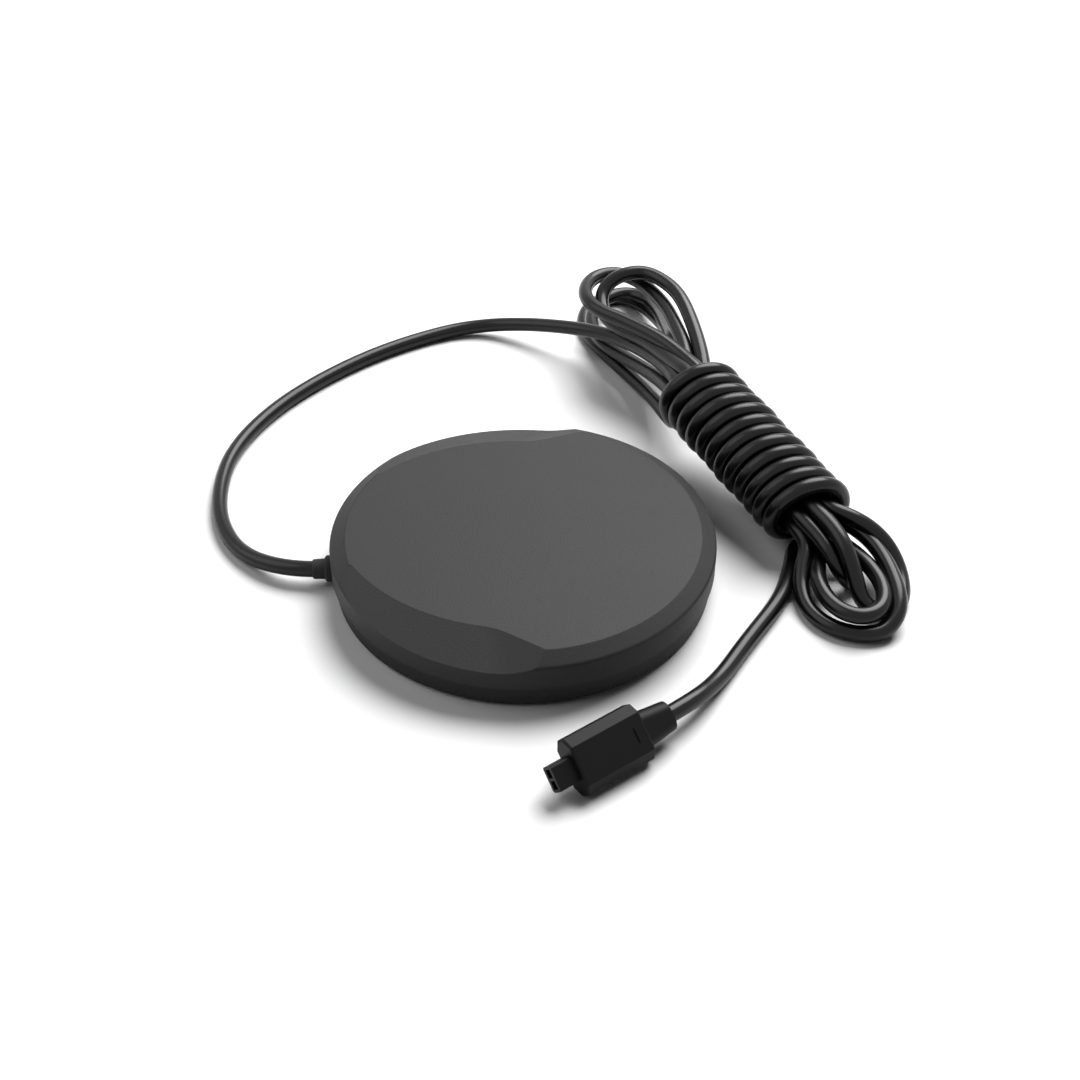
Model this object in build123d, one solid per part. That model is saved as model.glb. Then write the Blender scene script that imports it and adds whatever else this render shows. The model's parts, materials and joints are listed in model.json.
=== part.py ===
"""Round foot control pedal with its lead: a hinged cover that is pressed at the front edge
turns a small potentiometer through a curved rack and a pinion.

The frame: origin at the middle of the resting face, +Z up, the hinge and the lead at +Y,
the pressed edge at -Y. All sizes are in millimetres.
"""
from build123d import *
import os
from math import asin, atan2, cos, pi, radians, sin, sqrt, tan

os.makedirs("parts", exist_ok=True)

# Outside of the pedal
pedal_radius = 63.5
pedal_height = 20.0
seam_height = 8.5          # lower edge of the cover
rim_height = 17.0          # where the wall turns into the sloping edge
top_flat_radius = 58.4     # edge of the flat top
top_edge_round = 1.2
foot_proud = 0.8           # how far the rubber feet stand out of the base

# The two crescents scooped out of the top, one each side of the hinge half
scoop_centre_x = 15.7
scoop_centre_y = 1.7
scoop_radius = 64.5
scoop_slope = 20.0         # degrees below level
scoop_end_notch = (57.9, -16.1)   # where the front end of a scoop meets the top's edge
scoop_end_inner = (51.2, -2.3)    # where the front end meets the long curved edge
scoop_end_slope = 26.0     # degrees below level
scoop_end_round = 40.0     # between a scoop's long slope and its end

# Walls and gaps of the mouldings
base_floor = 2.2
base_wall = 2.0
base_chamfer = 0.8
lap = 2.0                  # how far the base wall stands up inside the cover
lip_wall = 0.9             # thin skirt of the cover
lip_gap = 0.35
cover_wall = 2.2

# Hinge of the cover
hinge_y = 48.0
hinge_z = 10.0
hinge_pin_radius = 1.5
hinge_running_gap = 0.05
hinge_x = 20.5             # middle of each hinge
lug_width = 6.2
lug_radius = 3.5
ear_gap = 0.4
ear_width = 3.0
ear_half_depth = 4.0
ear_above_pin = 3.2
press_angle = 2.3          # degrees of cover travel

# Return springs
spring_x = 26.0
spring_y = -26.0
spring_radius = 4.0        # middle of the wire
spring_wire = 0.9
spring_turns = 7
spring_cup_radius = 6.2
spring_cup_wall = 1.2
spring_cup_height = 2.4
spring_post_radius = 2.9
spring_post_length = 5.0

# Curved rack and pinion
tooth_module = 0.8
pinion_teeth = 10
rack_teeth_full_circle = 215
rack_teeth_cut = 10
tooth_backlash = 0.22
rack_addendum = 0.6
rack_dedendum = 0.95
pinion_addendum = 0.6
pinion_dedendum = 0.9
pressure_angle = 20.0
pinion_width = 4.0
pinion_z = 9.4
rack_width = 3.0
rack_depth = 9.0
rack_floor_gap = 0.5        # left under the rack when the pedal is pressed right down
rack_flange = (14.0, 10.0, 2.0)
rack_screw_x = 4.8

# Potentiometer and its bracket
pot_shaft_radius = 1.5
pot_body_side = 8.0
pot_body_depth = 5.0
pot_bush_radius = 3.0
pot_bush_length = 1.4
pot_running_gap = 0.05
bracket_sheet = 1.2
bracket_width = 13.4
bracket_height = 9.8
bracket_foot = 12.6
bracket_x = 5.2            # face of the bracket towards the pinion
bracket_screw_y = 4.4
pot_shaft_stub = 0.6
pot_leg_pitch = 2.5
pot_leg_length = 2.2

# Circuit board
board_size = (36.0, 24.0, 1.6)
board_centre = (0.0, 8.0)
board_standoff = 3.5
board_standoff_radius = 2.6
board_hole_inset = 3.0
header_size = (9.6, 5.0, 5.6)
header_y_inset = 4.5

sensor_socket = (6.6, 3.0, 2.6)
sensor_socket_x = 8.0
sensor_wire_radius = 0.5
sensor_wire_pitch = 1.8

# Screws of the inside
screw_radius = 1.0
screw_head_radius = 1.9
screw_head_height = 1.3
cover_screw_grip = 1.6     # depth of a screw's hole up into the cover
clamp_screw_grip = 4.0
board_screw_grip = 3.0
plate_screw_grip = 1.5

# Steel ballast plate
ballast_inset = 8.25       # of the plate inside the base's wall
ballast_sheet = 2.0
ballast_back_y = 30.0
ballast_gap = 0.6
ballast_screw_spots = ((-40.0, 8.0), (40.0, 8.0), (-12.0, -46.0), (40.0, -16.0), (-40.0, -16.0))

# Rubber feet and bumpers
foot_radius = 6.3
foot_recess = 1.2
foot_recess_gap = 0.2
foot_inset = 13.25         # of a foot's middle from the base's outside
bumper_x = 22.0
bumper_inset = 11.25       # of a bumper's middle inside the base's wall
bumper_radius = 3.0
bumper_sheet = 2.0
bumper_gap = 0.25

# Hooks that hold the cover down against its springs
hook_angle = 58.0          # degrees either side of -Y
hook_width = 8.0
hook_arm = 1.8
hook_arm_gap = 0.5         # between a hook's arm and its ledge
hook_barb_reach = 1.9
hook_barb_height = 1.2
hook_gap = 0.3
hook_ledge_reach = 2.35    # of a ledge inwards from the base's wall
hook_ledge_height = 2.0

# The lead and its gland
cord_radius = 2.75
gland_angle = 10.0         # degrees from +Y towards -X
gland_z = 6.0
gland_flange_radius = 4.45
gland_flange = 3.4
gland_waist_radius = 3.4
gland_inner_flange_radius = 4.2
gland_inner_flange = 2.0
gland_neck_radius = 3.3
gland_neck = 4.1
gland_fit = 0.05
clamp_setback = 12.0       # of the clamp from the lead's bend
clamp_size = (15.0, 5.0, 2.6)
clamp_screw_x = 5.4
core_radius = 0.65
core_pitch = 1.8

# Barrel of the tied-up lead: twelve turns of the lead round its own strands
barrel_top = (75.5, -53.8, 27.0)      # middle of the barrel's first turn
barrel_foot = (23.5, -94.7, 15.0)     # middle of the barrel's last turn
barrel_turns = 12
barrel_radius = 15.0
barrel_valley = 1.5
barrel_seam_angle = 180.0
strand_radius = 6.2        # of the ring that the strands make inside the barrel
middle_strand_radius = 1.5
strand_depth = 6.0         # of a loop's ends behind the barrel's end
strand_out = 0.5           # of a loop's first corners in front of it
winding_start_radius = 11.4

# Loops of the bundle: where each one's two ends stand in the barrel, as a distance from its middle
# line and an angle from the side towards the pedal over the top, and the points between them
loops_at_top = (
    ((strand_radius, 77), (strand_radius, 180), (
        (100.5, -38.0, 28.65), (110.0, -31.5, 27.15), (117.5, -23.0, 26.15), (124.0, -17.0, 26.15),
        (133.0, -14.0, 28.65), (139.5, -16.0, 32.65), (143.0, -23.0, 35.65), (144.0, -31.5, 36.15),
        (135.0, -41.5, 35.65), (122.5, -47.5, 34.65))),
    ((strand_radius, 231), (winding_start_radius, 298), (
        (138.5, -41.5, 12.0), (160.5, -35.0, 6.0), (176.0, -28.0, 3.2), (180.5, -19.0, 2.75),
        (177.0, -10.0, 2.75), (167.5, -5.0, 2.75), (156.5, -6.0, 2.75), (144.5, -10.5, 2.75),
        (124.0, -25.5, 2.75), (109.0, -34.5, 4.5))),
    ((middle_strand_radius, 200), (strand_radius, 129), (
        (116.5, -44.0, 30.0), (130.0, -40.0, 30.0), (144.0, -31.0, 30.0), (151.5, -18.5, 31.0),
        (142.5, -10.0, 32.0), (128.0, -8.5, 33.0), (119.5, -13.0, 33.0), (115.0, -22.0, 33.0),
        (108.0, -33.5, 33.0), (101.5, -39.5, 33.0))),
)
loops_at_foot = (
    ((strand_radius, 129), (strand_radius, 77), (
        (22.0, -113.5, 16.65), (19.5, -119.0, 11.65), (15.5, -122.5, 7.65), (9.5, -124.5, 4.5),
        (1.0, -124.0, 2.75), (-7.0, -120.0, 2.75), (-6.0, -115.0, 2.75), (-3.5, -110.5, 5.0),
        (3.0, -102.5, 12.65))),
    ((strand_radius, 180), (strand_radius, 334), (
        (21.5, -108.0, 12.65), (17.5, -114.5, 11.15), (11.0, -119.0, 9.65), (3.0, -121.5, 8.65),
        (-7.5, -123.0, 7.65), (-14.0, -123.0, 5.0), (-17.5, -119.0, 2.75), (-15.5, -113.0, 2.75),
        (-17.5, -107.0, 2.75), (-17.0, -102.0, 4.0), (-13.5, -96.5, 6.15), (-6.5, -92.5, 8.15),
        (4.5, -91.0, 8.15))),
    ((strand_radius, 283), (strand_radius, 231), (
        (7.0, -94.0, 8.15), (-2.0, -95.5, 8.15), (-10.5, -99.0, 8.15), (-16.0, -104.5, 7.9),
        (-18.5, -109.0, 7.9), (-17.0, -114.0, 7.9), (-11.0, -117.5, 7.9), (-3.5, -118.0, 7.9),
        (4.5, -115.0, 7.9), (17.0, -105.5, 8.15))),
)

# Route of the lead from the gland to the barrel, and from the barrel to the plug
pedal_run = (
    (-4.2, 95.5, 2.75), (12.0, 107.5, 2.75), (32.0, 113.3, 2.75), (55.0, 114.6, 2.75),
    (81.0, 107.0, 2.75), (105.0, 93.0, 2.75), (128.0, 73.5, 2.75), (146.0, 50.0, 2.75),
    (150.5, 34.0, 4.0), (148.0, 19.5, 7.0), (142.5, 6.0, 10.5), (135.5, -7.0, 14.0),
    (128.0, -17.0, 17.0), (117.5, -27.0, 20.0), (103.5, -36.0, 24.0), (88.0, -43.5, 28.0),
    (71.5, -50.0, 29.5), (63.5, -56.0, 28.0),
)
plug_run = (
    (30.0, -93.5, 3.2), (13.0, -94.5, 2.75), (-8.0, -85.5, 2.75), (-28.0, -74.5, 2.75), (-46.0, -66.5, 2.75),
)
pedal_run_straight = 7.2   # of the lead past the gland before its first corner
cord_bend_distance = 56.0  # where the lead bends a little, just inside the gland
cord_inner_turn = 17.0     # degrees from +Y towards -X of its stretch inside that bend
cord_inner_length = 15.5

# The plug lies on the floor, its nose pointing away from the lead
plug_cord_end = (-68.0, -51.3)
plug_nose_end = (-97.1, -20.0)
plug_roll = 45.0           # degrees that it has rolled over onto its chamfered edge
plug_cord_depth = 8.0      # how far the lead goes into the sleeve
plug_run_straight = 9.0    # of the lead in line with the plug before the sleeve
plug_sleeve_length = 10.5
plug_sleeve_size = (11.5, 8.4)
plug_sleeve_neck = (9.3, 7.4)
plug_body_size = (17.6, 9.5)
plug_body_chamfer = 2.85
plug_body_round = 0.8
plug_nose_length = 7.2
plug_nose_size = (8.0, 5.0)
plug_nose_round = 1.0
plug_cavities = 2
plug_cavity_size = (2.7, 2.6, 5.0)
plug_contact = (1.6, 0.6, 3.8)
plug_groove = (4.6, 0.7, 0.35)
plug_groove_setback = 4.2

# Sizes that follow from the ones above
floor_top = foot_proud + base_floor
base_radius = pedal_radius - lip_wall - lip_gap
base_inner_radius = base_radius - base_wall
ballast_radius = base_inner_radius - ballast_inset
foot_circle = base_radius - foot_inset
bumper_y = bumper_inset - base_inner_radius
hook_ledge_inner = base_inner_radius - hook_ledge_reach
hook_arm_outer = hook_ledge_inner - hook_arm_gap
base_wall_top = seam_height + lap
cover_under = pedal_height - cover_wall
lip_inner_radius = pedal_radius - lip_wall
front_reach = hinge_y + pedal_radius
front_travel = front_reach * sin(radians(press_angle))
lip_top = base_wall_top + front_travel + hook_gap
rack_pitch_radius = tooth_module * rack_teeth_full_circle / 2
pinion_pitch_radius = tooth_module * pinion_teeth / 2
gear_distance = rack_pitch_radius + pinion_pitch_radius
pinion_drop = asin((hinge_z - pinion_z) / gear_distance)
pinion_y = hinge_y - gear_distance * cos(pinion_drop)


def on_axis_x(shape, y, z):
    """Moves a shape drawn round the X axis to a place on the YZ plane."""
    return Pos(0, y, z) * shape


def bar_x(radius, x_low, x_high, y, z):
    """Round bar along X."""
    return Pos((x_low + x_high) / 2, y, z) * Rot(0, 90, 0) * Cylinder(radius, x_high - x_low)


def bar_z(radius, x, y, z_low, z_high):
    """Round bar along Z."""
    return Pos(x, y, (z_low + z_high) / 2) * Cylinder(radius, z_high - z_low)


def block(x_low, x_high, y_low, y_high, z_low, z_high):
    """Straight block between two corners."""
    size = (x_high - x_low, y_high - y_low, z_high - z_low)
    return Pos(x_low + size[0] / 2, y_low + size[1] / 2, z_low + size[2] / 2) * Box(*size)


def turned(points):
    """Solid turned about Z from an outline of (radius, height) points."""
    outline = make_face(Polyline(*[(r, 0, z) for r, z in points], close=True))
    return revolve(outline, Axis.Z)


def screw(x, y, head_bottom, depth):
    """Pan head screw with a cross slot, head up."""
    head = bar_z(screw_head_radius, x, y, head_bottom, head_bottom + screw_head_height)
    head = fillet(head.edges().group_by(Axis.Z)[-1], screw_head_height * 0.45)
    shank = bar_z(screw_radius, x, y, head_bottom - depth, head_bottom)
    slot_top = head_bottom + screw_head_height
    arm = screw_head_radius * 0.6
    slot = Pos(x, y, slot_top) * (Box(2 * arm, 0.45, 1.0) + Box(0.45, 2 * arm, 1.0))
    return head + shank - slot


def gland_frame():
    """Plane at the pedal's middle whose Z axis points out through the gland."""
    turn = radians(gland_angle)
    return Plane(origin=(0, 0, gland_z), x_dir=(cos(turn), sin(turn), 0), z_dir=(-sin(turn), cos(turn), 0))


def along_gland(distance, across=0.0, z=gland_z):
    """Point at a distance from the middle along the gland's axis, and across it."""
    turn = radians(gland_angle)
    return (-sin(turn) * distance + cos(turn) * across, cos(turn) * distance + sin(turn) * across, z)


def inner_point(distance, across=0.0, z=gland_z):
    """Point at a distance inwards from the lead's bend, along its innermost stretch, and across it."""
    turn = radians(cord_inner_turn)
    x, y, _ = along_gland(cord_bend_distance)
    return (x + sin(turn) * distance + cos(turn) * across, y - cos(turn) * distance + sin(turn) * across, z)


def corner_radii(points):
    """Largest tangent arcs that the runs beside each corner leave room for."""
    radii = []
    for before, corner, after in zip(points, points[1:], points[2:]):
        run_in = Vector(*corner) - Vector(*before)
        run_out = Vector(*after) - Vector(*corner)
        turn = radians(run_in.get_angle(run_out))
        radii.append(0.45 * min(run_in.length, run_out.length) / tan(turn / 2))
    return radii


def tube(points, radius, name):
    """Round tube of straight runs joined by tangent arcs, checked against its length."""
    radii = corner_radii(points)
    path = FilletPolyline(*points, radius=radii)
    section = Plane(origin=path @ 0, z_dir=path % 0) * Circle(radius)
    solid = sweep(section, path=path)
    expected = pi * radius ** 2 * path.length
    print(name, "length", round(path.length, 1), "smallest radius", round(min(radii), 1),
          "volume over section times length", round(solid.volume / expected, 4))
    print("   radii", [round(r) for r in radii])
    return solid


def scoop_cutter(side, drop):
    """Space above one crescent: outside a cone about the scoop's centre, above its sloping end."""
    reach = pedal_radius
    run = tan(radians(scoop_slope))
    above = cover_wall * 3
    top = pedal_height + above
    profile = ((scoop_radius - above / run, top), (scoop_radius + reach, top),
               (scoop_radius + reach, pedal_height - reach * run))
    cone = Pos(-side * scoop_centre_x, scoop_centre_y, 0) * turned(profile)
    notch = Vector(side * scoop_end_notch[0], scoop_end_notch[1], pedal_height)
    inner = Vector(side * scoop_end_inner[0], scoop_end_inner[1], pedal_height)
    edge = (inner - notch).normalized()
    outward = Vector(edge.Y, -edge.X, 0) * side
    slope = radians(scoop_end_slope)
    normal = outward * sin(slope) + Vector(0, 0, cos(slope))
    end = Plane(origin=notch, x_dir=edge, z_dir=normal)
    over_end = end * Pos(0, 0, reach) * Box(4 * reach, 4 * reach, 2 * reach)
    back_half = block(-2 * reach, 2 * reach, scoop_end_notch[1] - top_edge_round, 2 * reach, 0, 2 * reach)
    cutter = cone & over_end
    creases = ShapeList([e for e in cutter.edges() if e.geom_type not in (GeomType.LINE, GeomType.CIRCLE)])
    cutter = fillet(creases.sort_by_distance(inner)[0], scoop_end_round)
    return Pos(0, 0, -drop) * (cutter & back_half)


def make_top_cover():
    """Dished cover: flat top, sloping edge, two crescents, thin skirt, hinge lugs and hooks."""
    outer = turned(((0, seam_height), (pedal_radius, seam_height), (pedal_radius, rim_height),
                    (top_flat_radius, pedal_height), (0, pedal_height)))
    rims = [e for e in outer.edges() if e.geom_type == GeomType.CIRCLE and e.center().Z > seam_height + 1]
    outer = fillet(rims, top_edge_round)
    hollow = turned(((0, seam_height - 1), (lip_inner_radius, seam_height - 1), (lip_inner_radius, lip_top),
                     (top_flat_radius - 1, cover_under), (0, cover_under)))
    for side in (-1, 1):
        outer -= scoop_cutter(side, 0)
        hollow -= scoop_cutter(side, cover_wall)
    cover = outer - hollow
    ceiling = cover_under + 0.5
    for side in (-1, 1):
        x = side * hinge_x
        lug = block(x - lug_width / 2, x + lug_width / 2, hinge_y - lug_radius, hinge_y + lug_radius,
                    hinge_z, ceiling)
        lug += bar_x(lug_radius, x - lug_width / 2, x + lug_width / 2, hinge_y, hinge_z)
        cover += lug
        post_end = cover_under - spring_post_length
        post = bar_z(spring_post_radius, side * spring_x, spring_y, post_end, ceiling)
        cover += chamfer(post.edges().group_by(Axis.Z)[0], 0.6)
        angle = side * hook_angle
        barb_top = base_wall_top - hook_ledge_height - hook_gap
        arm = block(-hook_width / 2, hook_width / 2, -hook_arm_outer, -hook_arm_outer + hook_arm,
                    barb_top - hook_barb_height, ceiling)
        barb = block(-hook_width / 2, hook_width / 2, -hook_arm_outer - hook_barb_reach, -hook_arm_outer,
                     barb_top - hook_barb_height, barb_top)
        barb = chamfer(barb.edges().filter_by(Axis.X).group_by(Axis.Z)[0].sort_by(Axis.Y)[0], 0.8)
        cover += Rot(0, 0, angle) * (arm + barb)
        screw_top = cover_under + cover_screw_grip
        cover -= bar_z(screw_radius, side * rack_screw_x, rack_flange_y(), cover_under - 1, screw_top)
    cover -= bar_x(hinge_pin_radius + hinge_running_gap, -hinge_x - lug_width, hinge_x + lug_width,
                   hinge_y, hinge_z)
    notch_radius = gland_flange_radius + 0.5
    notch = gland_frame() * Pos(0, 0, pedal_radius) * Cylinder(notch_radius, 3 * base_wall)
    return cover - notch


def rack_flange_y():
    """Middle of the rack's flange under the cover."""
    return pinion_y + pinion_pitch_radius + rack_depth


def make_base_shell():
    """Shallow tray with hinge ears, spring cups, standoffs, bumper posts and the lead's slot."""
    shell = turned(((0, foot_proud), (base_radius - base_chamfer, foot_proud),
                    (base_radius, foot_proud + base_chamfer), (base_radius, base_wall_top),
                    (base_inner_radius, base_wall_top), (base_inner_radius, floor_top), (0, floor_top)))
    below = floor_top - 0.5
    for side in (-1, 1):
        for inner in (hinge_x - lug_width / 2 - ear_gap - ear_width, hinge_x + lug_width / 2 + ear_gap):
            low, high = sorted((side * inner, side * (inner + ear_width)))
            shell += block(low, high, hinge_y - ear_half_depth, hinge_y + ear_half_depth, below,
                           hinge_z + ear_above_pin)
        cup = bar_z(spring_cup_radius, side * spring_x, spring_y, below, floor_top + spring_cup_height)
        cup_inside = spring_cup_radius - spring_cup_wall
        cup -= bar_z(cup_inside, side * spring_x, spring_y, floor_top, floor_top + 2 * spring_cup_height)
        shell += cup
        shell += bar_z(bumper_radius, side * bumper_x, bumper_y, below, bumper_post_top())
        ledge = block(-hook_width / 2 - 1, hook_width / 2 + 1, -base_radius + 0.3, -hook_ledge_inner,
                      base_wall_top - hook_ledge_height, base_wall_top)
        shell += Rot(0, 0, side * hook_angle) * ledge
        clamp_x, clamp_y, _ = inner_point(clamp_setback, side * clamp_screw_x)
        shell += bar_z(screw_radius + 1.4, clamp_x, clamp_y, below, clamp_bottom())
    for x, y in board_holes():
        shell += bar_z(board_standoff_radius, x, y, below, floor_top + board_standoff)
    for x, y in board_holes():
        shell -= bar_z(screw_radius, x, y, floor_top, floor_top + board_standoff + 1)
    for side in (-1, 1):
        clamp_x, clamp_y, _ = inner_point(clamp_setback, side * clamp_screw_x)
        shell -= bar_z(screw_radius, clamp_x, clamp_y, floor_top, clamp_bottom() + 1)
        shell -= bar_z(screw_radius, bracket_foot_x(), pinion_y + side * bracket_screw_y, floor_top - 1.6,
                       floor_top + 1)
    for x, y in ballast_screw_spots:
        shell -= bar_z(screw_radius, x, y, floor_top - 1.6, floor_top + 1)
    for x, y in foot_spots():
        shell -= bar_z(foot_radius + foot_recess_gap, x, y, foot_proud - 1, foot_proud + foot_recess)
    shell -= bar_x(hinge_pin_radius, -pedal_radius / 2, pedal_radius / 2, hinge_y, hinge_z)
    slot_radius = gland_waist_radius + gland_fit
    slot = gland_frame() * Pos(0, 0, base_radius - base_wall / 2) * Cylinder(slot_radius, 3 * base_wall)
    slot_rise = Box(2 * slot_radius, 3 * base_wall, 2 * base_wall_top)
    turn = Rot(0, 0, gland_angle)
    slot += turn * Pos(0, base_radius - base_wall / 2, gland_z + base_wall_top) * slot_rise
    shell -= slot
    shell -= gland_frame() * Pos(0, 0, gland_wall_in() - gland_inner_flange / 2) * Cylinder(
        gland_inner_flange_radius + gland_fit, gland_inner_flange + 2 * gland_fit)
    return shell


def board_holes():
    """Middles of the four holes of the circuit board."""
    half_x = board_size[0] / 2 - board_hole_inset
    half_y = board_size[1] / 2 - board_hole_inset
    return [(board_centre[0] + i * half_x, board_centre[1] + j * half_y) for i in (-1, 1) for j in (-1, 1)]


def foot_spots():
    """Middles of the four feet."""
    return [(foot_circle * cos(radians(a)), foot_circle * sin(radians(a))) for a in (45, 135, 225, 315)]


def bumper_top():
    """Height that the cover's underside nearly reaches at the bumpers when pressed right down."""
    return cover_under - (hinge_y - bumper_y + bumper_radius) * sin(radians(press_angle)) - bumper_gap


def bumper_post_top():
    """Height of the post under each bumper."""
    return bumper_top() - bumper_sheet


def clamp_bottom():
    """Underside of the bar that holds the lead down."""
    return gland_z + cord_radius


def bracket_foot_x():
    """Middle of the bracket's screws."""
    return bracket_x + bracket_sheet + pot_body_depth + 3.6


def make_ballast_plate():
    """Steel plate that keeps the pedal down on the floor, cut clear of what stands on the base."""
    low, high = floor_top, floor_top + ballast_sheet
    plate = bar_z(ballast_radius, 0, 0, low, high)
    plate -= block(-pedal_radius, pedal_radius, ballast_back_y, pedal_radius, low - 1, high + 1)
    plate = fillet(plate.edges().filter_by(Axis.Z), 3)
    for side in (-1, 1):
        plate -= bar_z(spring_cup_radius + ballast_gap, side * spring_x, spring_y, low - 1, high + 1)
        plate -= bar_z(bumper_radius + ballast_gap, side * bumper_x, bumper_y, low - 1, high + 1)
    for x, y in board_holes():
        plate -= bar_z(board_standoff_radius + ballast_gap, x, y, low - 1, high + 1)
    window = block(-pinion_width, bracket_foot_x() + 4, pinion_y - bracket_width / 2 - ballast_gap,
                   rack_flange_y() + rack_flange[1] / 2, low - 1, high + 1)
    plate -= fillet(window.edges().filter_by(Axis.Z), 1.5)
    for x, y in ballast_screw_spots:
        plate -= bar_z(screw_radius + 0.2, x, y, low - 1, high + 1)
    return plate


def make_spring(side):
    """Compression spring with a closed turn at each end."""
    low = floor_top + spring_wire / 2
    high = cover_under - spring_wire / 2
    pitch = (high - low) / spring_turns
    path = Pos(side * spring_x, spring_y, low) * Helix(pitch, high - low, spring_radius)
    section = Plane(origin=path @ 0, z_dir=path % 0) * Circle(spring_wire / 2)
    return sweep(section, path=path, is_frenet=True)


def make_pinion():
    """Small gear on the potentiometer's shaft; the gap between two teeth faces the rack."""
    step = 2 * pi / pinion_teeth
    root = pinion_pitch_radius - pinion_dedendum
    tip = pinion_pitch_radius + pinion_addendum
    base = pinion_pitch_radius * cos(radians(pressure_angle))
    half_at_pitch = (pi * tooth_module / 2 - tooth_backlash / 2) / 2 / pinion_pitch_radius
    roll_at_pitch = sqrt((pinion_pitch_radius / base) ** 2 - 1)
    spread = half_at_pitch + roll_at_pitch - atan2(roll_at_pitch, 1)

    def flank(radius):
        roll = sqrt(max((radius / base) ** 2 - 1, 0))
        return spread - (roll - atan2(roll, 1))

    radii = (base, pinion_pitch_radius, (pinion_pitch_radius + tip) / 2, tip)
    outline = []
    for k in range(pinion_teeth):
        middle = (k + 0.5) * step
        outline.append((root, middle - flank(base)))
        outline += [(r, middle - flank(r)) for r in radii]
        outline += [(r, middle + flank(r)) for r in reversed(radii)]
        outline.append((root, middle + flank(base)))
    points = [(0, r * cos(a - pinion_drop), r * sin(a - pinion_drop)) for r, a in outline]
    face = make_face(Polyline(*points, close=True))
    gear = extrude(face, pinion_width / 2, dir=(1, 0, 0), both=True)
    gear -= bar_x(pot_shaft_radius, -pinion_width, pinion_width, 0, 0)
    return on_axis_x(gear, pinion_y, pinion_z)


def make_rack():
    """Curved rack about the hinge with a flange screwed to the cover's underside."""
    pitch = pi * tooth_module
    half_thick = (pitch / 2 - tooth_backlash / 2) / 2
    lean = tan(radians(pressure_angle))
    levels = ((rack_pitch_radius - rack_dedendum, half_thick + rack_dedendum * lean),
              (rack_pitch_radius + rack_addendum, half_thick - rack_addendum * lean))
    points = []
    first = -rack_teeth_cut // 2 + 2
    for k in range(first, first + rack_teeth_cut):
        middle = k * pitch
        for radius, half in levels:
            points.append((radius, middle - half))
        for radius, half in reversed(levels):
            points.append((radius, middle + half))
    inner = rack_pitch_radius - rack_depth
    low, high = points[0][1], points[-1][1]
    points = [(inner, low)] + points + [(inner, high)]
    spots = []
    for radius, arc in points:
        angle = pinion_drop - arc / rack_pitch_radius
        spots.append((0, hinge_y - radius * cos(angle), hinge_z - radius * sin(angle)))
    sector = extrude(make_face(Polyline(*spots, close=True)), rack_width / 2, dir=(1, 0, 0), both=True)
    travel = (rack_pitch_radius + rack_addendum) * sin(radians(press_angle))
    lowest = floor_top + travel + rack_floor_gap
    sector &= block(-rack_width, rack_width, -pedal_radius, pedal_radius, lowest, cover_under)
    flange_y = rack_flange_y()
    half = (rack_flange[0] / 2, rack_flange[1] / 2)
    flange = block(-half[0], half[0], flange_y - half[1], flange_y + half[1], cover_under - rack_flange[2],
                   cover_under)
    rib = block(-rack_width / 2, rack_width / 2, pinion_y + pinion_pitch_radius + rack_dedendum + 0.6,
                flange_y + half[1], hinge_z, cover_under)
    rack = sector + flange + rib
    for side in (-1, 1):
        rack -= bar_z(screw_radius + 0.15, side * rack_screw_x, flange_y, cover_under - 9, cover_under + 1)
    return rack


def make_rack_screws():
    """Two screws that go up through the rack's flange into the cover."""
    flange_bottom = cover_under - rack_flange[2]
    screws = Part()
    for side in (-1, 1):
        turned_over = Rot(180, 0, 0) * screw(0, 0, 0, rack_flange[2] + 1.4)
        screws += Pos(side * rack_screw_x, rack_flange_y(), flange_bottom) * turned_over
    return screws


def make_pot_bracket():
    """Bent sheet bracket that carries the potentiometer beside the rack."""
    half = bracket_width / 2
    upright = block(bracket_x, bracket_x + bracket_sheet, pinion_y - half, pinion_y + half, floor_top,
                    floor_top + bracket_height)
    foot = block(bracket_x, bracket_x + bracket_foot, pinion_y - half, pinion_y + half, floor_top,
                 floor_top + bracket_sheet)
    bracket = upright + foot
    bracket -= bar_x(pot_bush_radius, 0, bracket_x + 2 * bracket_sheet, pinion_y, pinion_z)
    for side in (-1, 1):
        bracket -= bar_z(screw_radius + 0.15, bracket_foot_x(), pinion_y + side * bracket_screw_y, 0, 9)
    return bracket


def make_pot_body():
    """Square potentiometer body with its threaded bush through the bracket and three legs."""
    back = bracket_x + bracket_sheet
    half = pot_body_side / 2
    body = block(back, back + pot_body_depth, pinion_y - half, pinion_y + half,
                 pinion_z - half, pinion_z + half)
    body = chamfer(body.edges().filter_by(Axis.X), 0.8)
    body += bar_x(pot_bush_radius, bracket_x - pot_bush_length, back + 0.5, pinion_y, pinion_z)
    for k in (-1, 0, 1):
        leg_y = pinion_y + k * pot_leg_pitch
        body += block(back + pot_body_depth - 0.3, pot_leg_end(), leg_y - 0.4, leg_y + 0.4,
                      pinion_z - 0.25, pinion_z + 0.25)
    bore = pot_shaft_radius + pot_running_gap
    return body - bar_x(bore, 0, back + pot_body_depth - 1, pinion_y, pinion_z)


def pot_leg_end():
    """Where the potentiometer's legs end and the thin wires begin."""
    return bracket_x + bracket_sheet + pot_body_depth + pot_leg_length


def make_pot_shaft():
    """Steel shaft from inside the potentiometer to the pinion."""
    far = bracket_x + bracket_sheet + pot_body_depth - 1.3
    shaft = bar_x(pot_shaft_radius, -pinion_width / 2 - pot_shaft_stub, far, pinion_y, pinion_z)
    return chamfer(shaft.edges().group_by(Axis.X)[0], 0.3)


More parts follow.
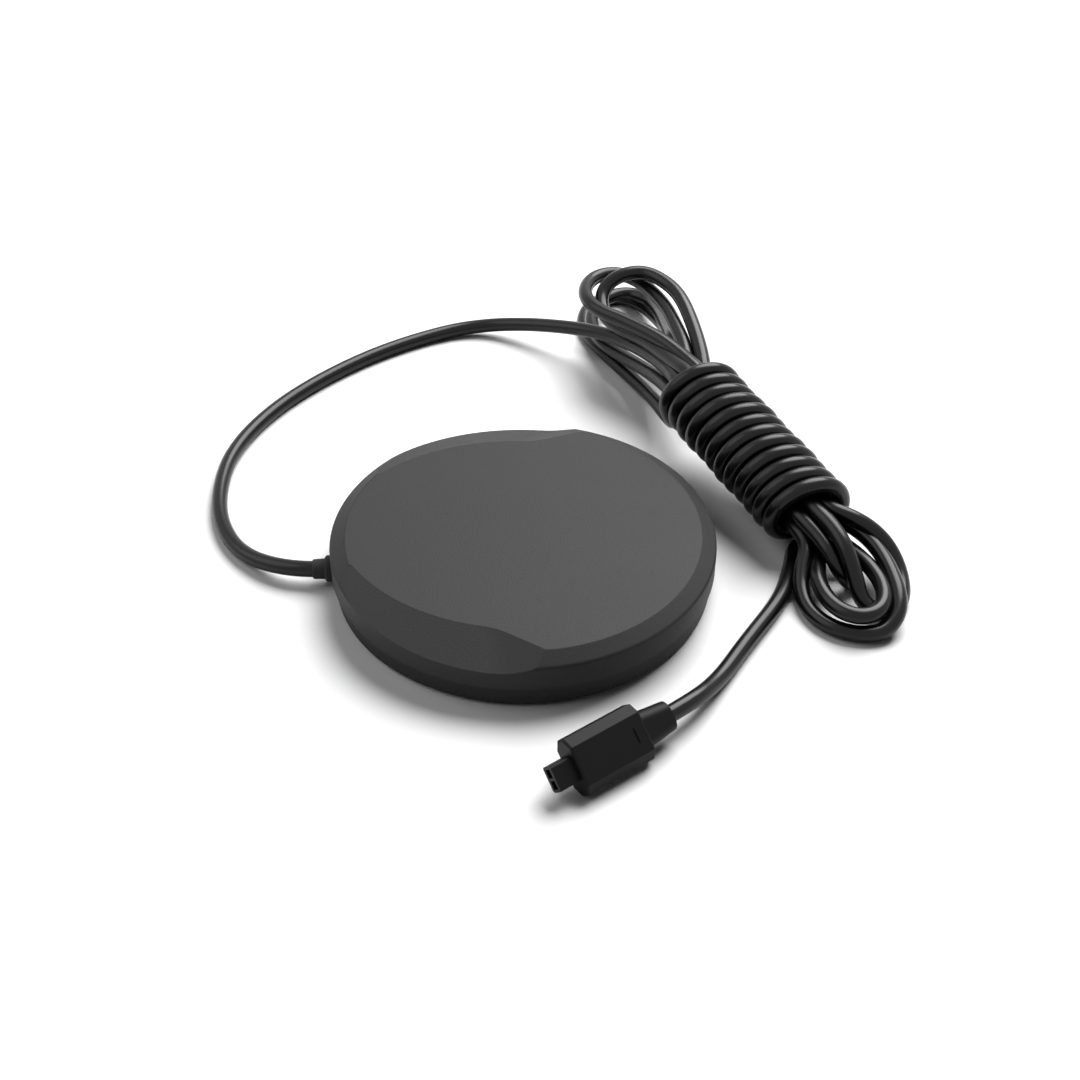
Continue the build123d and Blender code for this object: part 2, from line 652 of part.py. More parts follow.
def make_board():
    """Circuit board with rounded corners and four holes."""
    low = floor_top + board_standoff
    half_x, half_y = board_size[0] / 2, board_size[1] / 2
    cx, cy = board_centre
    board = block(cx - half_x, cx + half_x, cy - half_y, cy + half_y, low, low + board_size[2])
    board = fillet(board.edges().filter_by(Axis.Z), 1.5)
    for x, y in board_holes():
        board -= bar_z(screw_radius + 0.2, x, y, low - 1, low + 9)
    return board


def board_top():
    """Upper face of the circuit board."""
    return floor_top + board_standoff + board_size[2]


def make_header():
    """Pin header on the board that the lead's cores go into."""
    y = board_centre[1] + board_size[1] / 2 - header_y_inset
    half = (header_size[0] / 2, header_size[1] / 2)
    header = block(-half[0], half[0], y - half[1], y + half[1], board_top(), board_top() + header_size[2])
    for k in (-1, 0, 1):
        header -= block(k * 3 - 1.0, k * 3 + 1.0, y - 1, y + half[1] + 1,
                        core_height() - 1, core_height() + 1)
    return header


def core_height():
    """Height at which the cores enter the header."""
    return board_top() + 2.6


def make_board_parts():
    """Chip, two capacitors and two resistors that stand on the board."""
    top = board_top()
    cx, cy = board_centre
    parts = block(cx - 9, cx - 1, cy - 5, cy + 0, top, top + 1.6)
    parts += bar_z(2.5, cx + 5, cy - 4, top, top + 5.5)
    parts += bar_z(2.0, cx + 11, cy - 4, top, top + 5.0)
    parts += block(cx + 3, cx + 6.2, cy + 2.5, cy + 4.1, top, top + 0.7)
    parts += block(cx + 8, cx + 11.2, cy + 2.5, cy + 4.1, top, top + 0.7)
    front = sensor_socket_front()
    wide, deep, high = sensor_socket
    side = sensor_socket_x - wide / 2
    parts += block(side, side + wide, front, front + deep, top, top + high)
    return parts


def sensor_socket_front():
    """Front face of the socket that the potentiometer's wires go into."""
    return board_centre[1] - board_size[1] / 2 + 0.8


def make_sensor_wires():
    """Three thin wires from the potentiometer's legs to their socket on the board."""
    wires = Part()
    z_end = board_top() + sensor_socket[2] / 2
    y_end = sensor_socket_front()
    for k in (-1, 0, 1):
        leg_y = pinion_y + k * pot_leg_pitch
        x_out = pot_leg_end() + 4.0 - k * 1.6
        x_end = sensor_socket_x - k * sensor_wire_pitch
        route = ((pot_leg_end(), leg_y, pinion_z), (x_out, leg_y + 0.6, pinion_z + 0.3),
                 (x_out + 0.8, y_end - 17, floor_top + ballast_sheet + 1.6), (x_end, y_end - 4, z_end),
                 (x_end, y_end, z_end))
        wires += tube(route, sensor_wire_radius, "sensor wire " + str(k))
    return wires


def make_core(k):
    """One insulated core from the lead's inner end to the header."""
    start = inner_point(cord_inner_length, k * core_pitch)
    middle = inner_point(cord_inner_length + 6, k * 2.2, gland_z + 1.2)
    y_end = board_centre[1] + board_size[1] / 2 - header_y_inset + header_size[1] / 2 - 1.6
    near = (k * 3, y_end + 7, core_height())
    end = (k * 3, y_end, core_height())
    return tube((start, middle, near, end), core_radius, "core " + str(k))


def make_cord_clamp():
    """Bar screwed down over the lead just inside the gland."""
    bar = Box(*clamp_size)
    bar = fillet(bar.edges().filter_by(Axis.Z), 1.5)
    place = Pos(*inner_point(clamp_setback, 0, clamp_bottom() + clamp_size[2] / 2))
    place *= Rot(0, 0, cord_inner_turn)
    clamp = place * bar
    for side in (-1, 1):
        x, y, _ = inner_point(clamp_setback, side * clamp_screw_x)
        clamp -= bar_z(screw_radius + 0.15, x, y, 0, pedal_height)
    return clamp


def make_gland():
    """Moulded gland: flange each side of the base wall and a short neck round the lead."""
    wall_in = gland_wall_in() - gland_fit
    wall_out = base_radius + gland_fit
    outer_end = wall_out + gland_flange
    inner_end = wall_in - gland_inner_flange
    mouth = outer_end + gland_neck
    points = ((cord_radius, inner_end), (gland_inner_flange_radius, inner_end),
              (gland_inner_flange_radius, wall_in), (gland_waist_radius, wall_in),
              (gland_waist_radius, wall_out), (gland_flange_radius, wall_out),
              (gland_flange_radius, outer_end - 0.6), (gland_flange_radius - 0.6, outer_end),
              (gland_neck_radius + 0.15, outer_end), (gland_neck_radius, mouth - 0.3),
              (gland_neck_radius - 0.3, mouth), (cord_radius, mouth))
    return gland_frame() * turned(points)


def gland_wall_in():
    """Distance at which a flat square to the gland clears the curved inside of the base wall."""
    return sqrt(base_inner_radius ** 2 - gland_inner_flange_radius ** 2)


def gland_mouth():
    """Distance from the middle at which the lead comes out of the gland."""
    return base_radius + gland_fit + gland_flange + gland_neck


def barrel_frame():
    """Plane at the barrel's middle: Z along the barrel downwards, X towards the pedal."""
    top, foot = Vector(*barrel_top), Vector(*barrel_foot)
    down = (foot - top).normalized()
    side = down.cross(Vector(0, 0, 1)).normalized()
    return Plane(origin=(top + foot) / 2, x_dir=side, z_dir=down)


def barrel_length():
    """Length of the barrel over its turns."""
    return (Vector(*barrel_foot) - Vector(*barrel_top)).length


def barrel_pitch():
    """Distance from one turn of the barrel to the next."""
    return barrel_length() / (barrel_turns - 1)


def barrel_end_spot(end, spot, inward):
    """Point in the barrel: end is -1 at its top and 1 at its foot, inward a depth behind that end."""
    radius, angle = spot
    half = barrel_length() / 2 + barrel_pitch() / 2
    local = Vector(radius * cos(radians(angle)), -radius * sin(radians(angle)), end * (half - inward))
    return tuple(barrel_frame().from_local_coords(local))


def make_barrel():
    """Ribbed barrel that the lead's turns make round its own strands."""
    pitch = barrel_pitch()
    valley = barrel_radius - barrel_valley
    start = -barrel_length() / 2 - pitch / 2
    lines = Curve()
    for k in range(barrel_turns):
        low, high = start + k * pitch, start + (k + 1) * pitch
        lines += ThreePointArc((valley, 0, low), (barrel_radius, 0, (low + high) / 2), (valley, 0, high))
    end = start + barrel_turns * pitch
    lines += Polyline((valley, 0, end), (0, 0, end), (0, 0, start), (valley, 0, start))
    return barrel_frame() * Rot(0, 0, barrel_seam_angle) * revolve(make_face(lines), Axis.Z)


def make_cord_hank():
    """Tied-up lead: the barrel of turns with the loops standing out of both ends."""
    hank = make_barrel()
    for end, loops in ((-1, loops_at_top), (1, loops_at_foot)):
        for number, (first, last, between) in enumerate(loops):
            route = (
                barrel_end_spot(end, first, strand_depth), barrel_end_spot(end, first, -strand_out),
                *between,
                barrel_end_spot(end, last, -strand_out), barrel_end_spot(end, last, strand_depth),
            )
            hank += tube(route, cord_radius, "loop " + str(number + 1))
    return hank


def plug_height():
    """Height of the plug's axis when it lies on its chamfered edge."""
    wide, thick = plug_body_size
    return (wide / 2 + thick / 2 - plug_body_chamfer) * sin(radians(plug_roll))


def plug_frame():
    """Plane at the lead's end of the plug: Z towards the nose, Y out of its upper wide face."""
    start, end = Vector(*plug_cord_end, plug_height()), Vector(*plug_nose_end, plug_height())
    forward = (end - start).normalized()
    level = Vector(0, 0, 1).cross(forward)
    roll = radians(plug_roll)
    face = level * cos(roll) + Vector(0, 0, sin(roll))
    return Plane(origin=start, x_dir=face.cross(forward), z_dir=forward)


def plug_length():
    """Length of the whole plug."""
    return (Vector(*plug_nose_end) - Vector(*plug_cord_end)).length


def make_plug_sleeve():
    """Tapered sleeve round the lead behind the plug's body."""
    end = plug_sleeve_length
    neck = RectangleRounded(*plug_sleeve_neck, plug_sleeve_neck[1] * 0.45)
    wide = Pos(0, 0, end) * RectangleRounded(*plug_sleeve_size, plug_sleeve_size[1] * 0.4)
    sleeve = loft([neck.face(), wide.face()])
    sleeve -= Pos(0, 0, plug_cord_depth / 2 - end / 2) * Cylinder(cord_radius, plug_cord_depth + end)
    return plug_frame() * sleeve


def make_plug_body():
    """Grip of the plug: flat bar with broad chamfers and a short groove across its upper face."""
    low, high = plug_sleeve_length, plug_length() - plug_nose_length
    wide, thick = plug_body_size
    body = Pos(0, 0, (low + high) / 2) * Box(wide, thick, high - low)
    body = chamfer(body.edges().filter_by(Axis.Z), plug_body_chamfer)
    body = fillet(body.edges().group_by(Axis.Z)[0] + body.edges().group_by(Axis.Z)[-1], plug_body_round)
    long, across, deep = plug_groove
    groove = Box(long, 2 * deep, across)
    return plug_frame() * (body - Pos(0, thick / 2, low + plug_groove_setback) * groove)


def cavity_spots():
    """Middles of the cavities across the nose."""
    pitch = plug_nose_size[0] / (plug_cavities + 0.25)
    return [(k - (plug_cavities - 1) / 2) * pitch for k in range(plug_cavities)]


def make_plug_nose():
    """Rounded tongue of the plug with a row of open cavities in its face."""
    low, high = plug_length() - plug_nose_length, plug_length()
    nose = Pos(0, 0, low) * extrude(RectangleRounded(*plug_nose_size, plug_nose_round), high - low)
    wide, tall, deep = plug_cavity_size
    for x in cavity_spots():
        nose -= Pos(x, 0, high - deep / 2 + 0.5) * Box(wide, tall, deep + 1)
    return plug_frame() * nose


def make_plug_contacts():
    """Flat metal contacts at the bottom of the nose's cavities."""
    across, thick, long = plug_contact
    bottom = plug_length() - plug_cavity_size[2]
    contacts = Part()
    for x in cavity_spots():
        contacts += Pos(x, 0, bottom + long / 2) * Box(across, thick, long)
    return plug_frame() * contacts


def make_pedal_run():
    """Lead from inside the pedal, through the gland and round behind it, to the barrel."""
    inside = (inner_point(cord_inner_length), along_gland(cord_bend_distance))
    return inside + (along_gland(gland_mouth() + pedal_run_straight),) + pedal_run


def make_plug_run():
    """Lead from the barrel's last turn to the plug's sleeve, which it enters straight."""
    frame = plug_frame()
    near = frame.origin - frame.z_dir * plug_run_straight
    inside = frame.origin + frame.z_dir * plug_cord_depth
    return plug_run + ((near.X, near.Y, near.Z), (inside.X, inside.Y, inside.Z))


def build_all():
    """Makes every piece and returns them by name."""
    pieces = {"base_shell": make_base_shell(), "top_cover": make_top_cover()}
    for number, (x, y) in enumerate(foot_spots()):
        pad = bar_z(foot_radius, x, y, 0, foot_proud + foot_recess)
        pieces["foot_pad_" + str(number + 1)] = chamfer(pad.edges().group_by(Axis.Z)[0], 0.4)
    pieces["ballast_plate"] = make_ballast_plate()
    plate_top = floor_top + ballast_sheet
    screws = Part()
    for x, y in ballast_screw_spots:
        screws += screw(x, y, plate_top, ballast_sheet + plate_screw_grip)
    pieces["ballast_screws"] = screws
    for side, name in ((-1, "left"), (1, "right")):
        ends = (hinge_x - lug_width / 2 - ear_gap - ear_width, hinge_x + lug_width / 2 + ear_gap + ear_width)
        low, high = sorted((side * ends[0], side * ends[1]))
        pieces["hinge_pin_" + name] = bar_x(hinge_pin_radius, low, high, hinge_y, hinge_z)
        pieces["return_spring_" + name] = make_spring(side)
        bumper = bar_z(bumper_radius, side * bumper_x, bumper_y, bumper_post_top(), bumper_top())
        pieces["stop_bumper_" + name] = fillet(bumper.edges().group_by(Axis.Z)[-1], 0.6)
    pieces["drive_rack"] = make_rack()
    pieces["rack_screws"] = make_rack_screws()
    pieces["drive_pinion"] = make_pinion()
    pieces["pot_shaft"] = make_pot_shaft()
    pieces["pot_body"] = make_pot_body()
    pieces["pot_bracket"] = make_pot_bracket()
    screws = Part()
    for side in (-1, 1):
        screws += screw(bracket_foot_x(), pinion_y + side * bracket_screw_y, floor_top + bracket_sheet,
                        bracket_sheet + plate_screw_grip)
    pieces["bracket_screws"] = screws
    pieces["circuit_board"] = make_board()
    pieces["board_header"] = make_header()
    pieces["board_parts"] = make_board_parts()
    screws = Part()
    for x, y in board_holes():
        screws += screw(x, y, board_top(), board_size[2] + board_screw_grip)
    pieces["board_screws"] = screws
    for k, name in ((-1, "red"), (0, "black"), (1, "white")):
        pieces["core_" + name] = make_core(k)
    pieces["sensor_wires"] = make_sensor_wires()
    pieces["cord_clamp"] = make_cord_clamp()
    screws = Part()
    for side in (-1, 1):
        x, y, _ = inner_point(clamp_setback, side * clamp_screw_x)
        screws += screw(x, y, clamp_bottom() + clamp_size[2], clamp_size[2] + clamp_screw_grip)
    pieces["clamp_screws"] = screws
    pieces["cord_gland"] = make_gland()
    pieces["cord_pedal_run"] = tube(make_pedal_run(), cord_radius, "pedal run")
    pieces["cord_hank"] = make_cord_hank()
    pieces["cord_plug_run"] = tube(make_plug_run(), cord_radius, "plug run")
    pieces["plug_sleeve"] = make_plug_sleeve()
    pieces["plug_body"] = make_plug_body()
    pieces["plug_nose"] = make_plug_nose()
    pieces["plug_contacts"] = make_plug_contacts()
    return pieces


for node, shape in build_all().items():
    export_step(shape, os.path.join("parts", node + ".step"))
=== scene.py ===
import json
from math import cos, pi, radians, sin

import bmesh
import bpy
from bpy.props import FloatProperty, FloatVectorProperty, IntProperty, PointerProperty
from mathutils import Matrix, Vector

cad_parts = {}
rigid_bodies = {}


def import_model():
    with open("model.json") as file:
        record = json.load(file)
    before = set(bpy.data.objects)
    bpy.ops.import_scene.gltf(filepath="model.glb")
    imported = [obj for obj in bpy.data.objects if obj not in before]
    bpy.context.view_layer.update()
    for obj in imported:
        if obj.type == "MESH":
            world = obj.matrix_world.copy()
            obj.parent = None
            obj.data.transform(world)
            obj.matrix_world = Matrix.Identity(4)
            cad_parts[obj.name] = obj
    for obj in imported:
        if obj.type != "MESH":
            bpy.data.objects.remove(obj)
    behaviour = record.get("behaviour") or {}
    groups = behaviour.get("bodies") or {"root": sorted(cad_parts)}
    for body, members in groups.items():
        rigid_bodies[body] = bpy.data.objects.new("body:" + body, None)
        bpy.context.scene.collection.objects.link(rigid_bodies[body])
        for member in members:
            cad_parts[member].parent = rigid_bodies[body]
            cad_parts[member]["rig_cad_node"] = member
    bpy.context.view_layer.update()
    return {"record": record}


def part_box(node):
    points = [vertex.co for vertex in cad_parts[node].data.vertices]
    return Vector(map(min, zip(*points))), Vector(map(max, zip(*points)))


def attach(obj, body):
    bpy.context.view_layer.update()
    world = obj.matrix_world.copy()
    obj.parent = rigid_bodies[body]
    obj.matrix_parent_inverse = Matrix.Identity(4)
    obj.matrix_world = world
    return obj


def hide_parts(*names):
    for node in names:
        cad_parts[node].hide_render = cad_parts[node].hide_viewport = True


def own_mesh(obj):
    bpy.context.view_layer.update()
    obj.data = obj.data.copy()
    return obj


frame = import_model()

bl_info = {
    "name": "Foot Control Pedal",
    "version": (1, 0, 0),
    "blender": (4, 5, 0),
    "location": "View3D > Sidebar > Foot Pedal",
    "description": "Finishes a round foot control pedal, its tied-up lead and its plug",
    "category": "Object",
}

MM = 0.001

# The lead's route, in millimetres: from inside the pedal to the barrel of the tied-up bundle
PEDAL_RUN = (
    (-5.2, 40.3, 6.0), (-9.7, 55.1, 6.0), (-13.4, 75.8, 6.0), (-4.2, 95.5, 2.75),
    (12.0, 107.5, 2.75), (32.0, 113.3, 2.75), (55.0, 114.6, 2.75), (81.0, 107.0, 2.75),
    (105.0, 93.0, 2.75), (128.0, 73.5, 2.75), (146.0, 50.0, 2.75), (150.5, 34.0, 4.0),
    (148.0, 19.5, 7.0), (142.5, 6.0, 10.5), (135.5, -7.0, 14.0), (128.0, -17.0, 17.0),
    (117.5, -27.0, 20.0), (103.5, -36.0, 24.0), (88.0, -43.5, 28.0),
)
# The loops between one strand in the barrel and the next, in the order that the lead takes them
FOOT_LOOP_INNER = (
    (12.0, -97.2, 15.2), (6.5, -101.0, 13.0), (3.0, -105.0, 7.5), (3.5, -109.0, 3.2),
    (9.0, -109.5, 2.75), (13.0, -106.0, 4.0), (13.2, -102.2, 8.8), (15.8, -100.2, 12.6),
)
TOP_LOOP_SECOND = (
    (101.5, -48.5, 29.5), (116.5, -44.0, 30.0), (130.0, -39.5, 30.0), (142.5, -32.5, 30.0),
    (149.5, -25.5, 30.5), (151.5, -18.5, 31.0), (148.0, -12.0, 31.5), (141.0, -8.5, 32.0),
    (132.0, -7.8, 32.6), (123.5, -10.5, 33.0), (117.5, -16.0, 33.0), (112.5, -24.5, 33.0),
    (101.5, -38.5, 33.0), (92.5, -46.5, 32.5),
)
FOOT_LOOP_MIDDLE = (
    (20.5, -107.0, 18.5), (19.5, -113.5, 15.5), (17.5, -119.0, 11.5), (13.5, -122.8, 7.5),
    (7.5, -125.0, 4.2), (0.0, -125.2, 2.75), (-6.5, -122.5, 2.75), (-9.3, -116.5, 2.75),
    (-6.0, -111.0, 5.0), (0.0, -108.5, 11.0), (6.5, -105.0, 17.0), (13.3, -101.0, 19.3),
)
TOP_LOOP_FIRST = (
    (89.0, -44.5, 31.0), (100.5, -38.0, 29.0), (110.0, -31.5, 27.5), (117.5, -23.0, 26.5),
    (124.0, -17.0, 26.5), (133.0, -14.0, 29.0), (139.5, -16.0, 33.0), (143.0, -23.0, 36.0),
    (144.0, -31.5, 36.5), (135.0, -41.5, 36.0), (122.5, -47.5, 35.0), (97.5, -54.5, 31.0),
)
FOOT_LOOP_OUTER = (
    (22.5, -107.5, 13.5), (18.0, -113.5, 12.0), (11.5, -118.0, 10.5), (3.0, -121.0, 9.5),
    (-6.0, -123.0, 8.3), (-13.0, -122.5, 5.8), (-18.5, -118.5, 3.3), (-20.3, -112.0, 2.75),
    (-19.5, -105.0, 2.75), (-16.0, -98.8, 2.75), (-9.8, -94.0, 2.9), (-2.0, -91.8, 4.5),
    (5.5, -92.0, 7.5), (11.9, -93.8, 10.3),
)
TOP_LOOP_THIRD = (
    (93.5, -40.0, 20.0), (110.5, -32.0, 14.0), (126.0, -22.5, 9.5), (136.5, -14.5, 8.25),
    (147.5, -9.5, 8.25), (158.5, -9.0, 8.25), (168.0, -12.0, 8.25), (174.5, -18.0, 8.25),
    (175.5, -25.0, 8.25), (170.0, -31.5, 8.6), (160.5, -35.0, 11.0), (147.5, -38.0, 14.5),
    (129.0, -41.0, 19.5), (113.0, -43.5, 24.5),
)
FOOT_LOOP_END = (
    (14.5, -97.5, 7.9), (7.0, -97.2, 8.0), (-2.0, -97.0, 8.3), (-10.5, -99.5, 8.3),
    (-16.0, -104.0, 8.25), (-18.2, -109.5, 8.25), (-16.0, -115.0, 8.25), (-10.0, -118.2, 8.25),
    (-2.0, -118.0, 8.25), (6.0, -115.0, 8.3), (13.5, -110.0, 8.4), (18.5, -104.5, 8.9),
)
TOP_LOOP_FLOOR = (
    (115.0, -46.5, 19.5), (138.5, -41.5, 13.0), (160.5, -35.0, 7.0), (174.5, -28.5, 3.6),
    (181.0, -20.5, 2.75), (179.5, -12.5, 2.75), (173.0, -7.0, 2.75), (164.0, -5.0, 2.75),
    (154.5, -6.0, 2.75), (144.5, -10.5, 2.75), (125.0, -24.5, 2.75), (109.0, -34.0, 4.5),
    (97.0, -39.0, 7.5), (86.0, -43.0, 9.5), (78.0, -45.8, 12.0), (73.3, -45.6, 16.5),
)
PLUG_RUN = (
    (20.8, -90.0, 2.75), (13.0, -89.2, 2.75), (3.0, -87.6, 2.75), (-8.0, -84.6, 2.75),
    (-28.0, -74.5, 2.75), (-46.0, -66.5, 2.75), (-61.9, -57.9, 7.57), (-73.4, -45.5, 7.57),
)

# The barrel: the middles of its first and last turn, its turns, and the circle of its strands.
# A turn leans along the barrel, and its radius wanders a little, as in a hand-wound bundle.
BARREL_TOP = Vector((75.5, -53.8, 27.0))
BARREL_FOOT = Vector((23.5, -94.7, 15.0))
BARREL_TURNS = 12
TURN_RADIUS = 12.25
TURN_LEAN = 2.0
TURN_WANDER = 0.25
WANDER_RATE = 2.3 / pi
POINTS_PER_TURN = 16
STRAND_RADIUS = 6.2
STRAND_OUT_AT_TOP = 4.0
STRAND_OUT_AT_FOOT = 3.0
STRAND_IN = 18.0
FIRST_TURN_ANGLE = -30.0
LAST_TURN_ANGLE = 262.0

CORD_RADIUS = 2.75
SAMPLES_PER_POINT = 6

# The moulded grain of the pedal and of the plug, in bumps to the metre
GRAIN_PER_METRE = 1300.0
PLUG_GRAIN_PER_METRE = 3000.0

# The return springs: radius of the wire's middle, the wire's thickness, and how finely it is drawn
SPRING_RADIUS = 4.0
SPRING_WIRE = 0.9
SPRING_TURNS = 7
STEPS_PER_TURN = 36
WIRE_SIDES = 12

# The photograph's camera: where it stands, and what it looks at
CAMERA_SPOT = Vector((-395.4, -50.6, 339.1))
CAMERA_LOOK = Vector((0.771, 0.0878, -0.631))
CAMERA_LENS = 51.93
CAMERA_SENSOR = 36.0

# The floor: its lightness, half its side, and where it fades into the backdrop, in metres
FLOOR_GREY = 0.93
FLOOR_REACH = 1.8
FADE_START = 0.8
FADE_END = 1.6

# The lamps: where each stands and how wide it is, and the spot that they light, in metres
KEY_LAMP = ((0.75, -0.30, 1.00), 1.1)
FILL_LAMP = ((-0.10, 0.95, 0.90), 1.2)
LIT_SPOT = Vector((0.03, 0, 0))


class Lit:
    """A value in a material's node tree that Python's operators combine into more nodes."""

    def __init__(self, finish, socket):
        self.finish = finish
        self.socket = socket

    def _maths(self, operation, *values):
        return self.finish.node("ShaderNodeMath", operation=operation, inputs=values)

    def __add__(self, other):
        return self._maths("ADD", self, other)

    def __radd__(self, other):
        return self._maths("ADD", other, self)

    def __sub__(self, other):
        return self._maths("SUBTRACT", self, other)

    def __rsub__(self, other):
        return self._maths("SUBTRACT", other, self)

    def __mul__(self, other):
        return self._maths("MULTIPLY", self, other)

    def __rmul__(self, other):
        return self._maths("MULTIPLY", other, self)

    def __truediv__(self, other):
        return self._maths("DIVIDE", self, other)

    def __rtruediv__(self, other):
        return self._maths("DIVIDE", other, self)

    def smooth(self, low, high):
        """0 below low, 1 above high, smooth between."""
        return self.finish.node("ShaderNodeMapRange", interpolation_type="SMOOTHSTEP",
                                inputs={"Value": self, "From Min": low, "From Max": high})


class Finish:
    """One material: a Principled shader and the nodes that vary it."""

    def __init__(self, name):
        self.material = bpy.data.materials.new(name)
        self.material.use_nodes = True
        self.tree = self.material.node_tree
        self.shader = self.tree.nodes["Principled BSDF"]

    def node(self, kind, output=0, inputs=(), **settings):
        """Adds one node, sets its properties and inputs, and returns one of its outputs."""
        made = self.tree.nodes.new(kind)
        for key, value in settings.items():
            setattr(made, key, value)
        named = inputs.items() if isinstance(inputs, dict) else enumerate(inputs)
        for key, value in named:
            if isinstance(value, Lit):
                self.tree.links.new(value.socket, made.inputs[key])
            else:
                made.inputs[key].default_value = value
        return Lit(self, made.outputs[output])

    def place(self):
        """The point on the piece, in metres, which moves with the piece."""
        return self.node("ShaderNodeTexCoord", output="Object")

    def noise(self, per_metre, detail=2.0, roughness=0.5, stretch=(1.0, 1.0, 1.0)):
        """Soft noise with so many cells to the metre."""
        spot = self.node("ShaderNodeMapping", inputs={"Vector": self.place(), "Scale": stretch})
        return self.node("ShaderNodeTexNoise", inputs={"Vector": spot, "Scale": per_metre,
                                                       "Detail": detail, "Roughness": roughness})

    def cells(self, per_metre, output="Distance"):
        """Distance to the nearest of scattered points, so many to the metre."""
        return self.node("ShaderNodeTexVoronoi", output=output,
                         inputs={"Vector": self.place(), "Scale": per_metre})

    def mix(self, share, first, second):
        """Colour that goes from first to second as share goes from 0 to 1."""
        return self.node("ShaderNodeMix", output=2, data_type="RGBA",
                         inputs={0: share, 6: first, 7: second})

    def bump(self, height, distance, strength=1.0):
        """Normal that the height tilts; distance is in metres."""
        return self.node("ShaderNodeBump", inputs={"Strength": strength, "Distance": distance,
                                                   "Height": height})

    def set(self, **sockets):
        """Sets or links the shader's sockets, with underscores for spaces."""
        for key, value in sockets.items():
            socket = self.shader.inputs[key.replace("_", " ")]
            if isinstance(value, Lit):
                self.tree.links.new(value.socket, socket)
            else:
                socket.default_value = value
        return self.material


def grey(level):
    """Colour of a linear grey."""
    return (level, level, level, 1.0)


def tones(colour, dark, bright):
    """A darker and a brighter colour than the one given, by two factors."""
    return tuple(c * dark for c in colour) + (1.0,), tuple(min(1.0, c * bright) for c in colour) + (1.0,)


def moulded_plastic(name, level, grain_per_metre, grain_depth=0.00006, roughness=0.5):
    """Moulded plastic with a fine spark-eroded grain, slightly uneven in tone and gloss."""
    finish = Finish(name)
    fine = finish.noise(grain_per_metre, detail=3.0, roughness=0.62)
    broad = finish.noise(28.0, detail=2.0)
    scuff = finish.noise(260.0, detail=4.0, roughness=0.7).smooth(0.55, 0.78)
    tone = finish.mix((fine - 0.5) * 0.5 + broad * 0.4 + 0.1, grey(level * 0.88), grey(level * 1.14))
    return finish.set(Base_Color=tone,
                      Roughness=roughness + (broad - 0.5) * 0.08 + scuff * 0.04,
                      Specular_IOR_Level=0.11,
                      Normal=finish.bump(fine, grain_depth, 0.55))


def cord_jacket(name, level):
    """Semi-gloss extruded jacket with faint flow lines and a dusting of matter spots."""
    finish = Finish(name)
    ripple = finish.noise(900.0, detail=2.0)
    broad = finish.noise(60.0, detail=2.0)
    specks = finish.cells(1500.0).smooth(0.12, 0.05)
    tone = finish.mix(broad * 0.6 + ripple * 0.3, grey(level * 0.8), grey(level * 1.3))
    return finish.set(Base_Color=tone,
                      Roughness=0.25 + (broad - 0.5) * 0.08 + specks * 0.10,
                      Specular_IOR_Level=0.24,
                      Normal=finish.bump(ripple, 0.00003, 0.35))


def soft_rubber(name, level):
    """Matt rubber with a powdery bloom."""
    finish = Finish(name)
    grain = finish.noise(1800.0, detail=3.0)
    bloom = finish.noise(90.0, detail=3.0).smooth(0.45, 0.75)
    tone = finish.mix(bloom * 0.5 + grain * 0.2, grey(level), grey(level * 1.8))
    return finish.set(Base_Color=tone, Roughness=0.72 + grain * 0.12, Specular_IOR_Level=0.3,
                      Normal=finish.bump(grain, 0.00005, 0.5))


def metal(name, colour, roughness=0.3, along=(1.0, 1.0, 1.0), lines_per_metre=1200.0):
    """Metal with fine marks drawn out along the way that it was worked."""
    finish = Finish(name)
    marks = finish.noise(lines_per_metre, detail=3.0, stretch=along)
    patches = finish.noise(70.0, detail=3.0)
    tone = finish.mix(marks * 0.5 + patches * 0.5, *tones(colour, 0.78, 1.12))
    return finish.set(Base_Color=tone, Metallic=1.0,
                      Roughness=roughness + (marks - 0.5) * 0.14 + (patches - 0.5) * 0.1,
                      Normal=finish.bump(marks, 0.00002, 0.4))


def glossy_plastic(name, colour, roughness=0.28):
    """Smooth coloured plastic with a faint moulding ripple."""
    finish = Finish(name)
    ripple = finish.noise(380.0, detail=2.0)
    return finish.set(Base_Color=finish.mix(ripple, *tones(colour, 0.86, 1.08)),
                      Roughness=roughness + (ripple - 0.5) * 0.08,
                      Normal=finish.bump(ripple, 0.00003, 0.3))


def board_laminate(name):
    """Green board with lighter tracks under its lacquer."""
    finish = Finish(name)
    tracks = finish.node("ShaderNodeTexBrick", output="Fac", inputs={
        "Vector": finish.place(), "Scale": 260.0, "Mortar Size": 0.14,
        "Brick Width": 1.4, "Row Height": 0.35})
    weave = finish.noise(2400.0, detail=1.0)
    tone = finish.mix(tracks, (0.004, 0.045, 0.018, 1.0), (0.012, 0.11, 0.04, 1.0))
    return finish.set(Base_Color=tone, Roughness=0.32 + weave * 0.1,
                      Normal=finish.bump(tracks, 0.00003, 0.4))


def plain_stage(name):
    """Pale floor that keeps the object's soft shadow and fades into the backdrop far from it."""
    finish = Finish(name)
    away = finish.node("ShaderNodeVectorMath", output="Value", operation="LENGTH",
                       inputs=(finish.place(),))
    return finish.set(Base_Color=grey(FLOOR_GREY), Roughness=0.6, Specular_IOR_Level=0.2,
                      Alpha=away.smooth(FADE_END, FADE_START))


def mesh_piece(name, body, material, build):
    """Makes a mesh object with bmesh and lets it ride on a body."""
    shape = bmesh.new()
    build(shape)
    bmesh.ops.recalc_face_normals(shape, faces=shape.faces)
    mesh = bpy.data.meshes.new(name)
    shape.to_mesh(mesh)
    shape.free()
    mesh.materials.append(material)
    for face in mesh.polygons:
        face.use_smooth = True
    piece = bpy.data.objects.new(name, mesh)
    bpy.context.scene.collection.objects.link(piece)
    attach(piece, body)
    return piece


